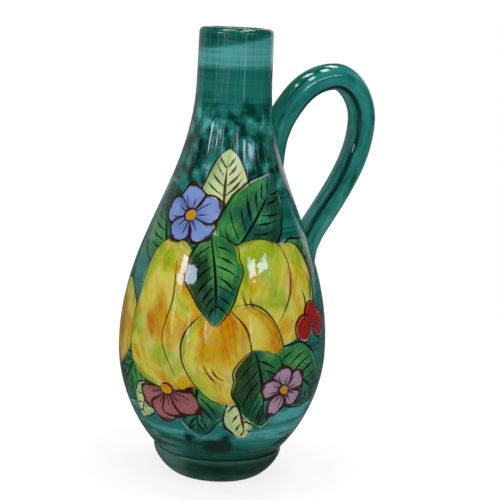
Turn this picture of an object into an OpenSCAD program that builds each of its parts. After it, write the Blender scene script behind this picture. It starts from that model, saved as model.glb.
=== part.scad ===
// Oil cruet in glazed earthenware: a thrown, pear-shaped bottle with an open neck,
// a foot ring luted round its base, and a pulled strap handle that springs from the
// neck, loops over and comes down on the shoulder. Both ends of the strap are luted to
// the wall, with a tail of clay smeared down below each as a potter's thumb leaves it.
// Millimetres, +Z up. The origin is the centre of the foot, on the table, and the
// handle points along +X.

/* [Body] */
// Height from the table to the top of the lip
height = 210; // [195:1:230]
// Outer radius of the belly at its widest
belly_r = 48.8; // [44:0.2:54]
// Height of the widest point of the belly
belly_z = 61.5; // [54:0.5:70]
// Length of the belly curve's pull below the widest point: more makes a fuller base
belly_low_pull = 19; // [14:0.5:24]
// Length of the belly curve's pull above the widest point: more makes a fuller shoulder
belly_high_pull = 51.5; // [44:0.5:58]
// Slope of the wall where the belly leaves the foot, in degrees above level
belly_rise = 43; // [38:1:50]
// Length of the belly curve's pull along that slope
belly_rise_pull = 14; // [10:0.5:18]
// Thickness of the belly wall
wall = 5; // [3.5:0.25:6.5]
// Thickness of the floor inside the bottle
floor_t = 6; // [4:0.25:8]

/* [Neck and mouth] */
// Outer radius of the neck at its narrowest
neck_r = 17.3; // [16:0.1:19]
// Height of the narrowest point of the neck
neck_z = 187; // [180:0.5:192]
// Length of the shoulder curve's pull below the neck: more makes a longer neck
neck_pull = 48.5; // [40:0.5:56]
// Outer radius of the lip
lip_r = 17.1; // [16.5:0.1:19.5]
// Radius of the rounding outside the lip
lip_round = 2.6; // [1.5:0.1:3.5]
// Radius of the rounding inside the lip
mouth_round = 1.4; // [0.8:0.1:1.8]
// Radius of the straight bore that takes a cork or a pourer
bore_r = 11.5; // [9.5:0.1:12.5]
// Length of the straight bore below the inner rounding
bore_len = 24; // [18:0.5:30]

/* [Foot ring] */
// Height of the crease between the belly and the foot ring
foot_h = 13.25; // [11:0.25:16]
// Outer radius of the foot ring at its widest
foot_r = 30.3; // [29.5:0.1:33]
// Depth below the crease at which the foot ring is widest
foot_drop = 1; // [0.8:0.1:3]
// Outer radius of the flat that stands on the table
base_r = 19.5; // [17:0.25:23]
// Width of the foot ring's top land, from the crease out to its edge
foot_land = 1.1; // [0.9:0.1:2]
// Radius of the body's own base, which the ring is luted round
seat_r = 21.5; // [19:0.25:23]
// Radius of the recess under the foot
recess_r = 14; // [9:0.25:16]
// Depth of the recess under the foot
recess_depth = 5; // [3:0.25:6]

/* [Handle] */
// Width of the strap, across the plane of the loop
strap_w = 13; // [11:0.25:17]
// Thickness of the strap, in the plane of the loop
strap_t = 12.5; // [9:0.25:13.5]
// Height where the middle of the strap meets its upper tail, beside the neck
upper_root_z = 165; // [160:0.5:170]
// Distance of that point from the neck's wall
upper_root_gap = 3.75; // [2:0.25:6]
// Height where the middle of the strap meets its lower tail, beside the shoulder
lower_root_z = 112; // [106:0.5:118]
// Distance of that point from the shoulder's wall
lower_root_gap = 3.25; // [2:0.25:5]
// Distance of the loop's top from the bottle's axis, at the middle of the strap
apex_x = 52.5; // [48:0.5:56]
// Height of the loop's top, at the middle of the strap
apex_z = 188; // [182:0.5:194]
// Furthest reach of the loop from the bottle's axis, at the middle of the strap
reach = 67.9; // [64:0.1:74]
// Height of that furthest point
reach_z = 168; // [162:0.5:174]
// Lean of the strap as it leaves its upper tail, in degrees out from upright
upper_lean = 28; // [20:1:36]
// Lean of the strap as it comes down on its lower tail, in degrees out from upright
lower_lean = 34; // [26:1:42]

/* [Handle tails] */
// Length of the tail smeared down the neck below the strap
upper_tail_len = 28; // [22:0.5:38]
// Length of the tail smeared down the shoulder below the strap
lower_tail_len = 36; // [26:0.5:42]
// Share of the strap's width left at the end of a tail
tail_width_share = 0.55; // [0.4:0.05:0.8]
// Thickness left at the end of a tail, where it sinks into the wall
tail_end_t = 2; // [1.5:0.1:3]

/* [Hidden] */

$fn = 96;

glaze_teal = [0.11, 0.42, 0.38];
glaze_deep = [0.06, 0.30, 0.26];

// Steps along each curve of the profile and of the handle
curve_steps = 30;
round_steps = 6;
loop_steps = 16;
tail_steps = 12;
strap_sides = 28;

// Pulls that round the loop, as lengths along its tangents
upper_pull = 16;
apex_in_pull = 13;
apex_out_pull = 7;
reach_high_pull = 10.5;
reach_low_pull = 19;
lower_pull = 26;
// Pull that bends a tail from the strap's lean to the wall's, as a share of its length
tail_pull = 0.16;

// Share of the strap's thickness outside its middle line, where it is crowned
crown_share = 0.55;
// How square the strap's flattened inner face is: 1 is round, less is flatter
inner_flatness = 0.55;
// Pull that rounds the foot ring's flank, as a share of its run
foot_bow = 0.35;
// Rounding of the foot ring's top edge
foot_edge = 0.7;
// Rounding of the corner between floor and wall inside
floor_round = 12;

// Cubic curve from a to d, pulled towards b and c, without its first point
function curve(a, b, c, d, steps) =
    [for (i = [1:steps]) let (t = i / steps, s = 1 - t)
        s * s * s * a + 3 * s * s * t * b + 3 * s * t * t * c + t * t * t * d];

// Points on an arc about c, from angle a0 to a1
function arc(c, r, a0, a1, steps) =
    [for (i = [0:steps]) let (a = a0 + (a1 - a0) * i / steps) c + r * [cos(a), sin(a)]];

// The body's outside, from the middle of its base up to the lip
crease = [foot_r - foot_land, foot_h];
belly = [belly_r, belly_z];
neck = [neck_r, neck_z];
body_outside = concat(
    [[0, recess_depth], [seat_r, recess_depth], crease],
    curve(crease, crease + belly_rise_pull * [cos(belly_rise), sin(belly_rise)],
        belly - [0, belly_low_pull], belly, curve_steps),
    curve(belly, belly + [0, belly_high_pull], neck - [0, neck_pull], neck, curve_steps),
    arc([lip_r - lip_round, height - lip_round], lip_round, 0, 90, round_steps)
);

// The body's inside, from the lip down to the middle of the floor
bore_top = height - mouth_round;
bore_foot = [bore_r, bore_top - bore_len];
inner_belly = [belly_r - wall, belly_z];
floor_z = recess_depth + floor_t;
floor_edge = [seat_r - floor_round / 2, floor_z];
body_inside = concat(
    arc([bore_r + mouth_round, bore_top], mouth_round, 90, 180, round_steps),
    [bore_foot],
    curve(bore_foot, bore_foot - [0, neck_pull], inner_belly + [0, belly_high_pull], inner_belly, curve_steps),
    curve(inner_belly, inner_belly - [0, belly_low_pull + floor_round], floor_edge + [floor_round, 0],
        floor_edge, curve_steps),
    [[0, floor_z]]
);

// Radius of the outside wall at a height, and its lean there in degrees
wall_table = [for (p = body_outside) if (p[1] > foot_h) [p[1], p[0]]];
function wall_r(z) = lookup(z, wall_table);
function wall_lean(z, span = 6) = atan((wall_r(z + span) - wall_r(z - span)) / (2 * span));

// The middle line of the strap, in the plane of the loop, from the neck to the shoulder
upper_way = [sin(upper_lean), cos(upper_lean)];
lower_way = [sin(lower_lean), cos(lower_lean)];
upper_root = [wall_r(upper_root_z) + upper_root_gap, upper_root_z];
lower_root = [wall_r(lower_root_z) + lower_root_gap, lower_root_z];
apex = [apex_x, apex_z];
outermost = [reach, reach_z];
loop = concat(
    [upper_root],
    curve(upper_root, upper_root + upper_pull * upper_way, apex - [apex_in_pull, 0], apex, loop_steps),
    curve(apex, apex + [apex_out_pull, 0], outermost + [0, reach_high_pull], outermost, loop_steps),
    curve(outermost, outermost - [0, reach_low_pull], lower_root + lower_pull * lower_way, lower_root,
        loop_steps)
);

// The middle line of a tail, from the strap's end down the wall until it is sunk in it
function tail_line(root, way, length) =
    let (end_z = root[1] - length, lean = wall_lean(end_z), pull = tail_pull * length,
        sunk = [wall_r(end_z) - tail_end_t, end_z])
    concat([root], curve(root, root - pull * way, sunk + pull * [sin(lean), cos(lean)], sunk, tail_steps));

// Way along a line of points at its point i, given the ways at its two ends
function way_at(line, i, first, last) =
    i == 0 ? first : i == len(line) - 1 ? last :
    let (step = line[i + 1] - line[i - 1]) step / norm(step);

// The strap's section: across the loop, then outwards. It is crowned outside and flatter inside.
function strap_section(width, thick) =
    [for (k = [0:strap_sides - 1]) let (a = 360 * k / strap_sides, s = sin(a))
        [width / 2 * cos(a),
            s >= 0 ? thick * crown_share * s : -thick * (1 - crown_share) * pow(-s, inner_flatness)]];

// The bottle as if it were solid, to cut what is pressed on to it
module solid_bottle() {
    rotate_extrude() polygon(concat(body_outside, [[0, height]]));
}

// Clay drawn along a line in the plane of the loop. sizes holds the width and thickness at each point.
module drawn_clay(line, ways, sizes, side = 1) {
    rings = len(line);
    sides = strap_sides;
    points = [for (i = [0:rings - 1]) let (out = side * [-ways[i][1], ways[i][0]])
        for (q = strap_section(sizes[i][0], sizes[i][1]))
            [line[i][0] + out[0] * q[1], side * q[0], line[i][1] + out[1] * q[1]]];
    skin = [for (i = [0:rings - 2], k = [0:sides - 1])
        let (a = i * sides + k, b = i * sides + (k + 1) % sides)
            each [[a, a + sides, b], [b, a + sides, b + sides]]];
    near_end = [for (k = [0:sides - 1]) k];
    far_end = [for (k = [sides - 1:-1:0]) (rings - 1) * sides + k];
    polyhedron(points, concat(skin, [near_end, far_end]), convexity = 4);
}

// A tail of the strap, smeared down the wall from a root and thinning as it goes
module smeared_tail(root, way, length, side) {
    line = tail_line(root, way, length);
    last = len(line) - 1;
    end_lean = wall_lean(root[1] - length);
    ways = [for (i = [0:last]) way_at(line, i, -way, -[sin(end_lean), cos(end_lean)])];
    sizes = [for (i = [0:last]) let (t = i / last, left = 1 - t * t * (3 - 2 * t))
        [strap_w * (tail_width_share + (1 - tail_width_share) * left),
            tail_end_t + (strap_t - tail_end_t) * left]];
    difference() {
        drawn_clay(line, ways, sizes, side);
        solid_bottle();
    }
}

// Thrown bottle: hollow, with a straight bore in its neck and a rounded lip
module body() {
    color(glaze_teal)
        rotate_extrude() polygon(concat(body_outside, body_inside));
}

// Ring of clay luted round the base, rounded under and recessed in the middle
module foot_ring() {
    flank_top = [foot_r, foot_h - foot_drop];
    flank = curve([base_r, 0],
        [base_r + (foot_r - base_r) * foot_bow, 0],
        flank_top - [0, flank_top[1] * foot_bow], flank_top, 2 * round_steps);
    top_edge = arc([foot_r - foot_edge, foot_h - foot_edge], foot_edge, 0, 90, round_steps);
    color(glaze_deep)
        rotate_extrude()
            polygon(concat([[recess_r, 0], [base_r, 0]], flank, top_edge,
                [crease, [seat_r, recess_depth], [recess_r, recess_depth]]));
}

// Pulled strap handle, cut where it lies against the wall
module handle() {
    ways = [for (i = [0:len(loop) - 1]) way_at(loop, i, upper_way, -lower_way)];
    sizes = [for (p = loop) [strap_w, strap_t]];
    color(glaze_teal)
        difference() {
            drawn_clay(loop, ways, sizes);
            solid_bottle();
        }
}

// Luted end of the handle on the neck
module upper_tail() {
    color(glaze_teal) smeared_tail(upper_root, upper_way, upper_tail_len, -1);
}

// Luted end of the handle on the shoulder
module lower_tail() {
    color(glaze_teal) smeared_tail(lower_root, lower_way, lower_tail_len, 1);
}

body();
foot_ring();
handle();
upper_tail();
lower_tail();
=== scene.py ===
import math

import bpy
import numpy as np
from mathutils import Matrix, Vector
from mathutils.geometry import delaunay_2d_cdt
from mathutils.kdtree import KDTree


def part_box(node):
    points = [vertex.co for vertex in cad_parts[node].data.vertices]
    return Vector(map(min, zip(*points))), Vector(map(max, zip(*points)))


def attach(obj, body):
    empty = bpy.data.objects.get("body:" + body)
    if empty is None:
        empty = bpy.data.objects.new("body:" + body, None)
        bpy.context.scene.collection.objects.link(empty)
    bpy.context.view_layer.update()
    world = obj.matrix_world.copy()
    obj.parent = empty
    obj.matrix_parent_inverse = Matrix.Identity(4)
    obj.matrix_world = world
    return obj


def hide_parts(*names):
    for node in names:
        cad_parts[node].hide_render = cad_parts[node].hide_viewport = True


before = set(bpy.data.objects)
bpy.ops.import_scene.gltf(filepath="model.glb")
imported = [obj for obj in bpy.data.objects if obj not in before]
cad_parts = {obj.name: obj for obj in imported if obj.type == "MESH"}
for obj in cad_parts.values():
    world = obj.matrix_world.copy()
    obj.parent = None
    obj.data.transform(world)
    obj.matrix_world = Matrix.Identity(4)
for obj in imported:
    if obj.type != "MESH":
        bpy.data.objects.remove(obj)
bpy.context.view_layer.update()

MM = 0.001
scene = bpy.context.scene
scene.view_settings.view_transform = "Standard"

# Camera
# The bottle is seen from a little above its mouth, with the handle turned away to the right.
# It leans a touch to the right in the picture, so the camera is rolled.
view_azimuth = math.radians(-25)
view_dip = math.radians(10.37)
view_roll = math.radians(2.75)
camera_away = 668 * MM
camera_height = 229 * MM
picture_px = 500
focal_px = 1449
axis_left_of_middle_px = 23.6
sensor_mm = 36

camera_data = bpy.data.cameras.new("camera")
camera_data.sensor_width = sensor_mm
camera_data.lens = sensor_mm * focal_px / picture_px
camera_data.shift_x = axis_left_of_middle_px / picture_px
camera_data.clip_start = 0.01
camera = bpy.data.objects.new("camera", camera_data)
scene.collection.objects.link(camera)
camera_way = Vector((math.sin(view_azimuth), -math.cos(view_azimuth), 0))
camera.matrix_world = (
    Matrix.Translation(camera_way * camera_away + Vector((0, 0, camera_height)))
    @ Matrix.Rotation(view_azimuth, 4, "Z")
    @ Matrix.Rotation(math.pi / 2 - view_dip, 4, "X")
    @ Matrix.Rotation(view_roll, 4, "Z")
)
scene.camera = camera

# Bottle
# A pear-shaped bottle thrown on the wheel in earthenware, dipped in tin glaze, then brushed
# with teal and painted with fruit, leaves and blossom in thin oxide washes and dark line,
# all fired in under one glossy coat. The foot ring and the handle are luted to it.
foot_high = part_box("foot_ring")[1]
body_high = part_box("body")[1]
bottle_height = body_high.z
belly_r = body_high.y
crease_z = foot_high.z
crease_step = 1.1 * MM
crease_r = foot_high.y - crease_step
belly_z = 61.5 * MM
belly_rise = math.radians(43)
belly_rise_pull = 14 * MM
belly_low_pull = 19 * MM
belly_high_pull = 51.5 * MM
neck_r = 17.3 * MM
neck_z = 187 * MM
neck_pull = 48.5 * MM
lip_r = 17.1 * MM
lip_round = 2.6 * MM
mouth_round = 1.4 * MM
bore_r = 11.5 * MM
bore_len = 24 * MM
wall_t = 5 * MM
base_z = 5 * MM
seat_r = 21.5 * MM
floor_z = 11 * MM
floor_round = 12 * MM


def curve(start, pull_a, pull_b, end, steps):
    """Points of a cubic curve, without the first."""
    t = np.linspace(0, 1, steps + 1)[1:, None]
    a, b, c, d = (np.array(p, float) for p in (start, pull_a, pull_b, end))
    return (1 - t) ** 3 * a + 3 * (1 - t) ** 2 * t * b + 3 * (1 - t) * t**2 * c + t**3 * d


def arc(middle, radius, first, last, steps):
    """Points on an arc, from one angle to another, in degrees, without the first."""
    a = np.radians(np.linspace(first, last, steps + 1))[1:]
    return np.array(middle) + radius * np.stack([np.cos(a), np.sin(a)], 1)


def line(start, end, steps):
    """Points on a straight line, without the first."""
    return np.array(start) + (np.array(end) - np.array(start)) * np.linspace(0, 1, steps + 1)[1:, None]


def run_along(points):
    """The distance of each point along a line, from its first."""
    return np.concatenate([[0], np.cumsum(np.linalg.norm(np.diff(points, axis=0), axis=1))])


# The wall's outside, from the crease over the belly to where the lip starts to turn
rise_way = np.array([math.cos(belly_rise), math.sin(belly_rise)])
crease = np.array([crease_r, crease_z])
belly = np.array([belly_r, belly_z])
neck = np.array([neck_r, neck_z])
lip_middle = np.array([lip_r - lip_round, bottle_height - lip_round])
lip_start = lip_middle + [lip_round, 0]
outside = np.concatenate([
    [crease],
    curve(crease, crease + belly_rise_pull * rise_way, belly - [0, belly_low_pull], belly, 160),
    curve(belly, belly + [0, belly_high_pull], neck - [0, neck_pull], neck, 200),
    line(neck, lip_start, 30),
])
outside_run = run_along(outside)
outside_way = np.gradient(outside, outside_run, axis=0)
wall_run = outside_run[-1]


def wall_radius(run):
    """The wall's radius at a distance along it from the crease."""
    return np.interp(run, outside_run, outside[:, 0])


def run_at(height):
    """Distance along the wall, from the crease, at a height."""
    return float(np.interp(height, outside[:, 1], outside_run))


# Paints, as they look once fired
def colour(red, green, blue):
    """A linear colour from the red, green and blue that a screen shows, 0 to 255."""
    shown = np.array([red, green, blue]) / 255
    return np.where(shown < 0.04, shown / 12.92, ((shown + 0.055) / 1.055) ** 2.4)


TEAL_BLACK = colour(1, 30, 19)
TEAL_DEEP = colour(3, 63, 50)
TEAL = colour(22, 98, 88)
TEAL_PALE = colour(72, 142, 138)
# A pale grey teal, used only for a painted sheen on the left of the lower body and the foot
TEAL_PAINTED_SHEEN = colour(92, 128, 118)
BARE = colour(150, 176, 154)
YELLOW = colour(174, 139, 0)
PALE_YELLOW = colour(184, 173, 68)
THIN_YELLOW = colour(190, 186, 116)
ORANGE = colour(166, 92, 0)
AMBER = colour(118, 56, 0)
LIME = colour(120, 146, 8)
OLIVE = colour(62, 84, 0)
LEAF = colour(2, 58, 30)
LEAF_TEAL = colour(0, 64, 58)
LEAF_DARK = colour(0, 20, 13)
LEAF_FRESH = colour(32, 102, 40)
LEAF_BRIGHT = colour(66, 132, 66)
LEAF_PALE = colour(140, 168, 90)
LEAF_CREAM = colour(176, 186, 132)
BLUE = colour(76, 94, 146)
BLUE_PALE = colour(106, 128, 176)
ROSE = colour(142, 84, 84)
ROSE_DEEP = colour(100, 42, 46)
LILAC = colour(148, 120, 140)
LILAC_DEEP = colour(106, 76, 96)
RED = colour(144, 24, 22)
RED_DEEP = colour(88, 8, 12)
INK = colour(8, 4, 4)
INK_BROWN = colour(44, 12, 8)

# The wall laid flat, in millimetres: across is the angle times the belly's radius, up is the
# run from the crease. The drawing's own seam lies behind the handle.
flat_width = 2 * math.pi * belly_r / MM
flat_height = wall_run / MM
draw = np.random.default_rng(41)
layers = []
GROUND_MARK, RESERVE, MOTIF = range(3)


class Place:
    """Where a motif sits: the angle and height of its middle, and its turn, in degrees and millimetres."""

    def __init__(self, angle, height, turn=0.0):
        self.angle = math.radians(angle)
        self.run = run_at(height * MM) / MM
        self.cos = math.cos(math.radians(turn))
        self.sin = math.sin(math.radians(turn))
        self.shift = draw.uniform(0, 300)

    def to_flat(self, points):
        """The motif's own points, laid on the flat wall."""
        x = points[:, 0] * self.cos - points[:, 1] * self.sin
        up = points[:, 0] * self.sin + points[:, 1] * self.cos + self.run
        angle = self.angle + x * MM / wall_radius(up * MM)
        return np.stack([angle * belly_r / MM, up], 1)

    def from_flat(self, flat):
        """Points of the flat wall, as the motif's own."""
        angle = flat[:, 0] * MM / belly_r - self.angle
        angle = (angle + math.pi) % (2 * math.pi) - math.pi
        x = angle * wall_radius(flat[:, 1] * MM) / MM
        up = flat[:, 1] - self.run
        return np.stack([x * self.cos + up * self.sin, up * self.cos - x * self.sin], 1)


def mixed(a, b, share):
    """One paint let into another, by a share at each point."""
    return a + (b - a) * np.asarray(share)[..., None]


def smooth(low, high, value):
    """0 at low, 1 at high, and smooth between."""
    t = np.clip((value - low) / (high - low), 0, 1)
    return t * t * (3 - 2 * t)


def waves(x, y, size, seed):
    """A soft unevenness over a motif, about -1 to 1, in patches of a size in millimetres."""
    own = np.random.default_rng(seed)
    total = 0
    for _ in range(7):
        way = own.uniform(0, 2 * math.pi)
        length = size * own.uniform(0.9, 2.8)
        lead = own.uniform(0, 2 * math.pi)
        total = total + np.sin((x * math.cos(way) + y * math.sin(way)) * 2 * math.pi / length + lead)
    return total / 2.9


def even_steps(points, step):
    """The same line with its points a step apart."""
    run = run_along(points)
    at = np.linspace(0, run[-1], max(4, int(run[-1] / step) + 1))
    return np.stack([np.interp(at, run, points[:, 0]), np.interp(at, run, points[:, 1])], 1)


def through(points, count=16):
    """A smooth line through a few points."""
    points = np.asarray(points, float)
    run = run_along(points)
    slope = np.gradient(points, run, axis=0)
    at = np.linspace(0, run[-1], count)
    k = np.clip(np.searchsorted(run, at, side="right") - 1, 0, len(points) - 2)
    gap = (run[k + 1] - run[k])[:, None]
    t = (at - run[k])[:, None] / gap
    return (points[k] * (1 + 2 * t) * (1 - t) ** 2 + slope[k] * gap * t * (1 - t) ** 2
            + points[k + 1] * t * t * (3 - 2 * t) + slope[k + 1] * gap * t * t * (t - 1))


def ring(count):
    """Angles of points spaced evenly round an outline."""
    return np.linspace(0, 2 * math.pi, count, endpoint=False)


def wavering(t, lead, base, *swells):
    """A value that wavers round an outline: a base, with swells of so many to the round and a size."""
    for start, (count, size) in zip(lead, swells):
        base = base + size * np.sin(count * t + start)
    return base


def add_wash(place, outline, wash, soft=0.8, strength=1.0, grain=None, level=MOTIF):
    """A wash inside an outline, soft at its edge.

    wash gives pigment, bleed and wetness at the motif's points, and grain the way the brush went over them.
    """
    outline = even_steps(np.concatenate([outline, outline[:1]]), 1.1)[:-1]
    layers.append({"place": place, "outline": outline, "wash": wash, "soft": soft, "strength": strength,
                   "grain": grain, "level": level})


def add_reserve(place, outline):
    """The white glaze left bare round a motif, where the teal was brushed up to it and not quite met it."""
    t = ring(len(outline))
    away = outline - outline.mean(0)
    away /= np.linalg.norm(away, axis=1)[:, None] + 1e-9
    spare = wavering(t, draw.uniform(0, 6, 3), 0.1, (2, 0.5), (5, 0.4), (9, 0.3))

    def wash(x, y, depth):
        return mixed(BARE, BARE, 0 * x), mixed(BARE, TEAL_PALE, 0.5 + 0 * x), 0.35 + 0.3 * waves(x, y, 5, 7)

    add_wash(place, outline + away * spare[:, None], wash, 0.8, 0.7, level=RESERVE)


def add_line(place, points, width, ink=INK, strength=0.92, landing=0.35, lifting=0.25):
    """A brush line, thin where the brush lands and lifts, and fuller between."""
    points = even_steps(np.asarray(points, float), 0.9)
    t = np.linspace(0, 1, len(points))
    press = np.minimum(landing + (1 - landing) * smooth(0, 0.35, t),
                       lifting + (1 - lifting) * smooth(0, 0.4, 1 - t))
    half = width * 0.62 * press * (1 + 0.28 * np.sin(t * draw.uniform(5, 11) + draw.uniform(0, 6)))
    way = np.gradient(points, axis=0)
    way /= np.linalg.norm(way, axis=1)[:, None] + 1e-9
    side = np.stack([-way[:, 1], way[:, 0]], 1) * half[:, None]
    outline = np.concatenate([points - side, (points + side)[::-1]])
    layers.append({"place": place, "outline": outline, "ink": ink, "strength": strength, "level": MOTIF})


def contour(place, outline, width, first=0.0, last=1.0, ink=INK):
    """A line along part of an outline, not quite true to it, as a hand draws it."""
    closed = np.concatenate([outline, outline, outline[:1]])
    count = len(outline)
    cut = closed[int(first * count):int(last * count) + 1]
    t = np.linspace(0, 1, len(cut))
    drift = 0.5 * np.stack([np.sin(t * 7 + draw.uniform(0, 6)), np.sin(t * 6 + draw.uniform(0, 6))], 1)
    add_line(place, cut + drift, width, ink)


def add_motif(place, outline, wash, grain, soft, contours, ink=INK):
    """A motif on its bare edge, with contours that each have a width and run from one share to another."""
    add_reserve(place, outline)
    add_wash(place, outline, wash, soft, 0.97, grain)
    for width, first, last in contours:
        contour(place, outline, width, first, last, ink)


# Fruit: orange and lime washes that run into thin yellow, brushed round the form
def fruit_wash(wide, tall, side, ripe, seed, grain):
    """side is the sunny side, 1 or -1, and ripe goes from 0, lime, to 1, orange."""

    def wash(x, y, depth):
        across, along = grain(x, y)
        u, v = x / (wide / 2), y / (tall / 2)
        streak = waves(across, along * 0.25, 3.2, seed)
        patch = waves(across, along * 0.8, 15, seed + 1)
        sunny = 0.55 * u * side - 0.35 * v
        blush = smooth(-0.05, 0.75, sunny + 0.7 * patch + 0.24 * streak + 1.3 * (ripe - 0.5))
        green = smooth(0.0, 0.75, 0.24 * streak - sunny - 0.7 * patch + 1.3 * (0.5 - ripe))
        pale = smooth(0.0, 1.0, waves(across, along * 0.5, 9, seed + 3) + 0.25 * streak)
        thin = smooth(0.2, 0.9, waves(across, along * 0.7, 7, seed + 5) + 0.2 * streak)
        pigment = mixed(mixed(mixed(YELLOW, PALE_YELLOW, pale), ORANGE, blush), LIME, green)
        pigment = mixed(pigment, THIN_YELLOW, 0.6 * thin)
        pooled = 0.6 * smooth(3.8, 0.4, depth) + 0.3 * smooth(0.2, 1, streak)
        pigment = mixed(pigment, mixed(AMBER, OLIVE, green), pooled)
        bleed = mixed(mixed(PALE_YELLOW, YELLOW, blush), LIME, 0.55 * green)
        return pigment, bleed, 0.40 + 0.22 * waves(across, along * 0.5, 9, seed + 4)

    return wash


def swirled(across, x, y, seed):
    """The brush's way over a fruit, across it and along it, with the swirl of the hand."""
    return across + 2.6 * waves(x, y, 13, seed + 6), y + 2.6 * waves(x, y, 13, seed + 7)


def pear(angle, height, turn, tall, wide, side, ripe, seed):
    place = Place(angle, height, turn)
    t = ring(96)
    half = (0.72 - 0.33 * np.cos(t) + 0.09 * np.cos(2 * t)) * wide / 1.46
    outline = np.stack([np.sin(t) * half + 0.05 * wide * np.cos(t) ** 2 * side, np.cos(t) * tall / 2], 1)
    outline *= 1 + 0.016 * np.sin(5 * t + seed)[:, None]

    def grain(x, y):
        level = np.clip(y / (tall / 2), -0.98, 0.98)
        girth = np.sqrt(1 - level**2) * (0.78 - 0.34 * level) / 0.78
        return swirled(x / np.maximum(girth, 0.3), x, y, seed)

    add_motif(place, outline, fruit_wash(wide, tall, side, ripe, seed, grain), grain, 0.9,
              [(0.64, 0.03, 0.44), (0.6, 0.47, 0.66), (0.64, 0.70, 0.97)])
    spread = np.array([side * wide, tall])
    inner = [(0.10, 0.34), (0.05, 0.1), (-0.10, -0.16), (-0.04, -0.4)]
    add_line(place, through(inner * spread), 0.7, INK_BROWN, 0.8)
    for k in range(3):
        tick = [(0.20 + 0.03 * k, -0.08 - 0.07 * k), (0.26 + 0.02 * k, -0.12 - 0.07 * k),
                (0.27 + 0.02 * k, -0.17 - 0.065 * k)]
        add_line(place, through(tick * spread, 8), 0.65, INK_BROWN, 0.85)
    stalk = [(0.05, 0.47), (0.09, 0.55), (0.18, 0.61)]
    add_line(place, through(stalk * spread), 1.9, INK_BROWN, 0.95, 0.7, 0.9)
    bottom = np.array([0.05 * wide * side, -tall * 0.485])
    for way in np.radians([-70, -35, 0, 35, 70]):
        add_line(place, [bottom, bottom + 2.6 * np.array([math.sin(way), -0.8 * math.cos(way)])], 0.8)


def apricot(angle, height, turn, wide, side, ripe, seed):
    place = Place(angle, height, turn)
    t = ring(84)
    dimple = 0.10 * np.exp(-((np.sin(t) / 0.25) ** 2)) * (np.cos(t) > 0)
    outline = np.stack([np.sin(t) * (1 + 0.04 * np.cos(t)), np.cos(t) * 0.96 - dimple], 1) * wide / 2
    outline *= 1 + 0.02 * np.sin(4 * t + seed)[:, None]

    def grain(x, y):
        girth = np.sqrt(1 - np.clip(y / (wide / 2), -0.97, 0.97) ** 2)
        return swirled(x / girth + 0.12 * wide * side * (1 - girth), x, y, seed)

    add_motif(place, outline, fruit_wash(wide, wide, side, ripe, seed, grain), grain, 0.9,
              [(0.64, 0.02, 0.36), (0.6, 0.38, 0.55), (0.64, 0.57, 0.98)])
    spread = np.array([side * wide, wide])
    seam = [(0, 0.43), (0.13, 0.25), (0.16, 0), (0.06, -0.30)]
    add_line(place, through(seam * spread), 0.8, INK_BROWN, 0.85)
    for k in range(2):
        tick = [(-0.12 - 0.07 * k, -0.22 - 0.02 * k), (-0.19 - 0.07 * k, -0.17 + 0.02 * k),
                (-0.23 - 0.07 * k, -0.09 + 0.04 * k)]
        add_line(place, through(tick * spread, 8), 0.7, INK_BROWN, 0.85)


# Leaves: teal on one half and green on the other, streaked along, with a rib and loose side veins in ink
def leaf(angle, height, turn, long, wide, bend, seed, pale=False):
    place = Place(angle, height, turn)
    h = np.linspace(0, 1, 48)
    lobes = 1 + 0.07 * np.abs(np.sin(h * 8.5 + seed)) + 0.03 * np.sin(h * 23 + seed)
    half = wide / 2 * np.sin(math.pi * h**0.82) ** 0.75 * lobes
    rib = np.stack([bend * (h * h - 0.3 * h), long * (h - 0.5)], 1)
    tip = len(h) - 1
    across = np.stack([half, 0 * h], 1)
    outline = np.concatenate([rib + across, (rib - 0.94 * across)[-2:0:-1]])

    def grain(x, y):
        up = np.clip(y / long + 0.5, 0.04, 0.96)
        aside = x - bend * (up * up - 0.3 * up)
        return aside / np.maximum(np.sin(math.pi * up**0.82), 0.35), y - 0.5 * np.abs(aside)

    def wash(x, y, depth):
        up = np.clip(y / long + 0.5, 0, 1)
        across, along = grain(x, y)
        aside = across / (wide / 2)
        streak = waves(across, along * 0.2, 3.2, seed)
        patch = waves(x, y, 14, seed + 50)
        if pale:
            pigment = mixed(LEAF_CREAM, LEAF_PALE, smooth(-0.6, 0.6, streak * 0.6 + patch))
            pigment = mixed(pigment, LEAF_FRESH, smooth(0.35, 1.2, 1 - up + 0.3 * streak - 0.5 * aside) * 0.8)
            bleed = mixed(LEAF_CREAM, LEAF_FRESH, smooth(0.3, 1.0, np.abs(aside)) * 0.5)
        else:
            pigment = mixed(LEAF_TEAL, LEAF, smooth(-0.5, 0.5, aside + 0.35 * patch))
            shade = smooth(0.0, 0.9, 0.5 * streak + 0.5 * aside + 0.3 - 0.6 * up)
            fresh = smooth(0.3, 1.0, 0.9 - up + 0.35 * streak + 0.4 * patch - 0.6 * aside)
            pigment = mixed(mixed(pigment, LEAF_DARK, 0.8 * shade), LEAF_FRESH, 0.8 * fresh)
            bleed = mixed(LEAF_BRIGHT, TEAL, smooth(0.0, 0.6, up - 0.3 + 0.4 * aside))
        return pigment, bleed, (0.36 if pale else 0.17) + 0.3 * patch

    ink = INK_BROWN if pale else INK
    add_motif(place, outline, wash, grain, 0.8, [(0.75, 0.01, 0.49), (0.75, 0.51, 0.985)], ink)
    add_line(place, rib[2:44], 0.9, ink, 0.92, 0.9, 0.2)
    steep = draw.uniform(0.5, 0.75)
    for at in np.linspace(0.14, 0.78, 7 if long > 26 else 4):
        k = int(at * tip)
        for side in (-1, 1):
            rise = half[k] * steep * draw.uniform(0.9, 1.15)
            reach = half[min(k + int(rise / long * tip), tip - 1)] * draw.uniform(0.6, 0.85)
            start = draw.uniform(0.05, 0.3)
            vein = [(side * reach * start, rise * start * 0.8), (side * reach * 0.6, rise * 0.5),
                    (side * reach, rise)]
            add_line(place, rib[k] + through(vein, 10), draw.uniform(0.55, 0.95), ink, 0.9, 0.5, 0.25)


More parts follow.
